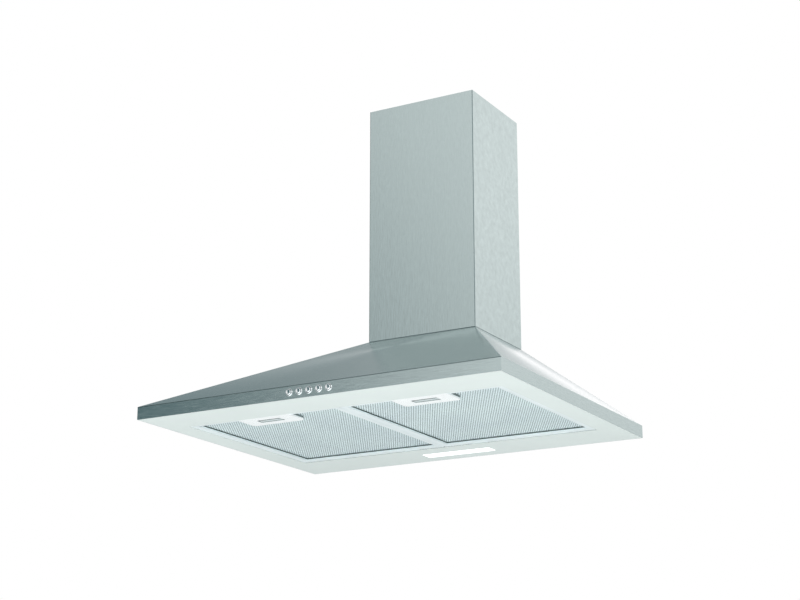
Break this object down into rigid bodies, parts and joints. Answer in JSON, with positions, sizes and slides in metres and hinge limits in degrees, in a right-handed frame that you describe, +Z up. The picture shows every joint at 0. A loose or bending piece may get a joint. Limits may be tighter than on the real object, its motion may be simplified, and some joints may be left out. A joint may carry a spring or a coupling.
{
  "type": "chimney range hood",
  "caption": "Wall-mounted pyramid chimney range hood in brushed steel, with drop-down filter cassettes, push buttons and a telescoping chimney",
  "frame": {"origin": "middle of the rear lower edge, on the wall plane, level with the underside", "axes": "+X to the right seen from in front, +Y into the wall, +Z up"},
  "size_m": [0.6, 0.4937, 0.565],
  "materials": {
    "shell_steel": "fine brushed stainless steel",
    "galvanised_steel": "plain galvanised sheet",
    "panel_white": "satin white enamel",
    "filter_aluminium": "bright folded sheet",
    "net_aluminium": "expanded sheet, matt",
    "handle_plastic": "smooth white moulding",
    "latch_plastic": "grey moulding",
    "lamp_diffuser": "opal, lit from behind",
    "button_chrome": "polished",
    "bezel_chrome": "polished",
    "housing_plastic": "black moulding",
    "impeller_plastic": "dark grey moulding",
    "motor_steel": "dark lacquer",
    "shaft_steel": "ground",
    "isolator_rubber": "soft, matt",
    "terminal_plastic": "light grey moulding",
    "board_white": "white solder mask",
    "capacitor_shell": "off-white shell"
  },
  "bodies": {
    "root": {"canopy_shell": "shell_steel", "back_panel": "galvanised_steel", "bottom_panel": "panel_white", "lower_chimney": "shell_steel", "scroll_left": "housing_plastic", "scroll_right": "housing_plastic", "motor": "motor_steel", "motor_bracket": "galvanised_steel", "motor_isolators": "isolator_rubber", "duct_adapter": "housing_plastic", "damper_pin": "shaft_steel", "lamp_lens": "lamp_diffuser", "lamp_housing": "housing_plastic", "led_board": "board_white", "led_driver": "terminal_plastic", "terminal_box": "terminal_plastic", "terminal_lid": "terminal_plastic", "cable_gland": "housing_plastic", "capacitor": "capacitor_shell", "capacitor_clip": "housing_plastic", "switch_housing": "housing_plastic", "button_bezels": "bezel_chrome"},
    "upper_chimney": {"upper_chimney": "shell_steel", "chimney_bracket": "galvanised_steel"},
    "impeller": {"impeller": "impeller_plastic", "motor_shaft": "shaft_steel"},
    "damper_front": {"damper_flap_front": "housing_plastic"},
    "damper_rear": {"damper_flap_rear": "housing_plastic"},
    "button_1": {"button_1": "button_chrome"},
    "button_2": {"button_2": "button_chrome"},
    "button_3": {"button_3": "button_chrome"},
    "button_4": {"button_4": "button_chrome"},
    "button_5": {"button_5": "button_chrome"},
    "left_filter": {"left_filter_frame": "filter_aluminium", "left_filter_net": "net_aluminium", "left_filter_core": "net_aluminium", "left_filter_back_net": "net_aluminium", "left_filter_handle": "handle_plastic"},
    "left_latch": {"left_filter_latch": "latch_plastic"},
    "right_filter": {"right_filter_frame": "filter_aluminium", "right_filter_net": "net_aluminium", "right_filter_core": "net_aluminium", "right_filter_back_net": "net_aluminium", "right_filter_handle": "handle_plastic"},
    "right_latch": {"right_filter_latch": "latch_plastic"}
  },
  "joints": [
    {"name": "chimney_slide", "type": "slide", "parent": "root", "child": "upper_chimney", "axis": [0, 0, 1], "range_m": [0, 0.3]},
    {"name": "impeller_spin", "type": "hinge", "parent": "root", "child": "impeller", "pos_m": [0, -0.087, 0.104], "axis": [1, 0, 0], "continuous": true},
    {"name": "damper_front_swing", "type": "hinge", "parent": "root", "child": "damper_front", "pos_m": [0, -0.0825, 0.1801], "axis": [-1, 0, 0], "range_deg": [0, 75]},
    {"name": "damper_rear_swing", "type": "hinge", "parent": "root", "child": "damper_rear", "pos_m": [0, -0.0825, 0.1801], "axis": [1, 0, 0], "range_deg": [0, 75]},
    {"name": "button_1_press", "type": "slide", "parent": "root", "child": "button_1", "axis": [0, 1, 0], "range_m": [0, 0.003], "stiffness_N_per_m": 300},
    {"name": "button_2_press", "type": "slide", "parent": "root", "child": "button_2", "axis": [0, 1, 0], "range_m": [0, 0.003], "stiffness_N_per_m": 300},
    {"name": "button_3_press", "type": "slide", "parent": "root", "child": "button_3", "axis": [0, 1, 0], "range_m": [0, 0.003], "stiffness_N_per_m": 300},
    {"name": "button_4_press", "type": "slide", "parent": "root", "child": "button_4", "axis": [0, 1, 0], "range_m": [0, 0.003], "stiffness_N_per_m": 300},
    {"name": "button_5_press", "type": "slide", "parent": "root", "child": "button_5", "axis": [0, 1, 0], "range_m": [0, 0.003], "stiffness_N_per_m": 300},
    {"name": "left_filter_drop", "type": "hinge", "parent": "root", "child": "left_filter", "pos_m": [-0.13085, -0.0885, 0.0011], "axis": [1, 0, 0], "range_deg": [0, 45]},
    {"name": "left_latch_slide", "type": "slide", "parent": "left_filter", "child": "left_latch", "axis": [0, 1, 0], "range_m": [0, 0.006], "stiffness_N_per_m": 400},
    {"name": "right_filter_drop", "type": "hinge", "parent": "root", "child": "right_filter", "pos_m": [0.13085, -0.0885, 0.0011], "axis": [1, 0, 0], "range_deg": [0, 45]},
    {"name": "right_latch_slide", "type": "slide", "parent": "right_filter", "child": "right_latch", "axis": [0, 1, 0], "range_m": [0, 0.006], "stiffness_N_per_m": 400}
  ]
}
